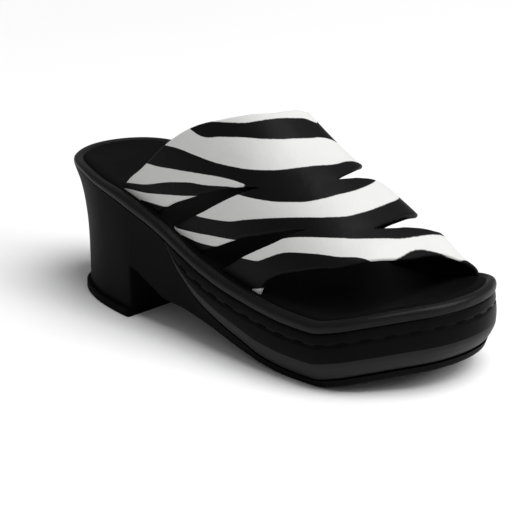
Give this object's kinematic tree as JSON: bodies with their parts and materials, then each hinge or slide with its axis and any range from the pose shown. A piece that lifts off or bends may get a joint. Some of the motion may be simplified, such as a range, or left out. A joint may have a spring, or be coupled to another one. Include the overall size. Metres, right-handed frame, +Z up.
{
  "type": "platform mule sandal",
  "caption": "Right platform mule sandal: banded leather upper with pointed side openings, padded footbed, wrapped platform wedge, moulded block-heel sole and heel top piece.",
  "frame": {"origin": "on the floor, under the middle of the shoe's box", "axes": "+Z up, the toe points to -Y, the wearer's right (the outer side of the foot) is at -X"},
  "size_m": [0.0966, 0.2462, 0.11],
  "materials": {
    "upper_leather": "smooth printed leather in black and white zebra stripes",
    "footbed_leather": "soft black lining leather",
    "platform_leather": "polished black leather",
    "sole_rubber": "satin black moulded sole",
    "heel_tip_rubber": "matt black rubber"
  },
  "bodies": {
    "root": {"upper": "upper_leather", "footbed": "footbed_leather", "platform": "platform_leather", "sole_unit": "sole_rubber", "heel_tip": "heel_tip_rubber"}
  },
  "joints": []
}
